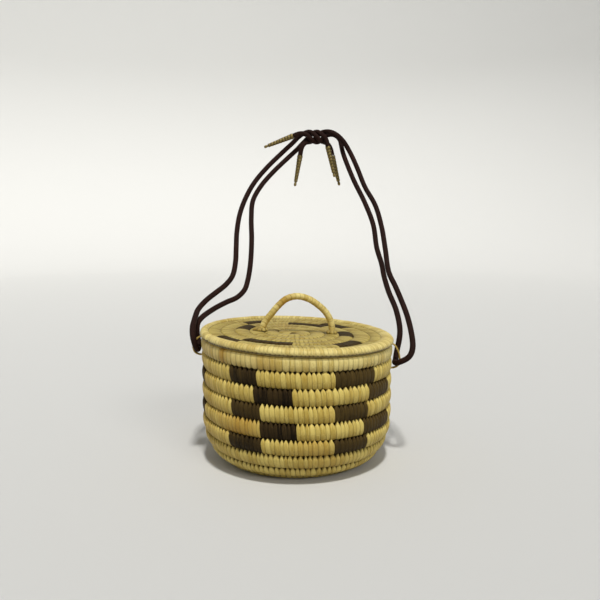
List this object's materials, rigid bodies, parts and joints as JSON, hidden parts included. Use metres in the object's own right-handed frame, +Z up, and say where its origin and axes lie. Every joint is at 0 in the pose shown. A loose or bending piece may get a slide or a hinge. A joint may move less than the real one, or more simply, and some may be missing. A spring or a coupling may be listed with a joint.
{
  "type": "lidded basket",
  "caption": "Small round coiled basket with a stepped dark block pattern, a lift-off coiled lid with an arched handle, and a knotted cord strap with metal tips.",
  "frame": {"origin": "middle of the underside, on the surface that the basket stands on", "axes": "+Z up; -Y is the pictured front; +X is to the right in the picture, through the right ear"},
  "size_m": [0.2112, 0.291, 0.3235],
  "materials": {
    "straw_coil": "stitched plant splint over a grass coil, dry and matt",
    "pale_splint": "pale plant splint, slightly silky",
    "dark_splint": "dark plant splint, dry",
    "strap_cord": "braided dark red-brown cord",
    "tip_metal": "aged brass"
  },
  "bodies": {
    "basket": {"basket_base": "straw_coil", "basket_wall": "straw_coil", "cord_left": "strap_cord", "cord_right": "strap_cord", "dark_wraps_row_2_1": "dark_splint", "dark_wraps_row_2_2": "dark_splint", "dark_wraps_row_2_3": "dark_splint", "dark_wraps_row_2_4": "dark_splint", "dark_wraps_row_2_5": "dark_splint", "dark_wraps_row_3_1": "dark_splint", "dark_wraps_row_3_2": "dark_splint", "dark_wraps_row_3_3": "dark_splint", "dark_wraps_row_3_4": "dark_splint", "dark_wraps_row_3_5": "dark_splint", "dark_wraps_row_4_1": "dark_splint", "dark_wraps_row_4_2": "dark_splint", "dark_wraps_row_4_3": "dark_splint", "dark_wraps_row_4_4": "dark_splint", "dark_wraps_row_4_5": "dark_splint", "dark_wraps_row_5_1": "dark_splint", "dark_wraps_row_5_2": "dark_splint", "dark_wraps_row_5_3": "dark_splint", "dark_wraps_row_5_4": "dark_splint", "dark_wraps_row_5_5": "dark_splint", "dark_wraps_row_6_1": "dark_splint", "dark_wraps_row_6_2": "dark_splint", "dark_wraps_row_6_3": "dark_splint", "dark_wraps_row_6_4": "dark_splint", "dark_wraps_row_6_5": "dark_splint", "ear_left": "pale_splint", "ear_right": "pale_splint", "rim_coil": "pale_splint", "tip_1": "tip_metal", "tip_2": "tip_metal", "tip_3": "tip_metal", "tip_4": "tip_metal"},
    "lid": {"handle_lashing_left": "straw_coil", "handle_lashing_right": "straw_coil", "lid_dark_wraps_inner_1": "dark_splint", "lid_dark_wraps_inner_2": "dark_splint", "lid_dark_wraps_inner_3": "dark_splint", "lid_dark_wraps_inner_4": "dark_splint", "lid_dark_wraps_outer_1": "dark_splint", "lid_dark_wraps_outer_2": "dark_splint", "lid_dark_wraps_outer_3": "dark_splint", "lid_dark_wraps_outer_4": "dark_splint", "lid_disc": "straw_coil", "lid_flange": "straw_coil", "lid_handle": "pale_splint", "lid_rim_coil": "pale_splint"}
  },
  "joints": [
    {"name": "lid_lift", "type": "slide", "parent": "basket", "child": "lid", "axis": [0.0419, 0, 0.9991], "range_m": [0, 0.225]}
  ]
}
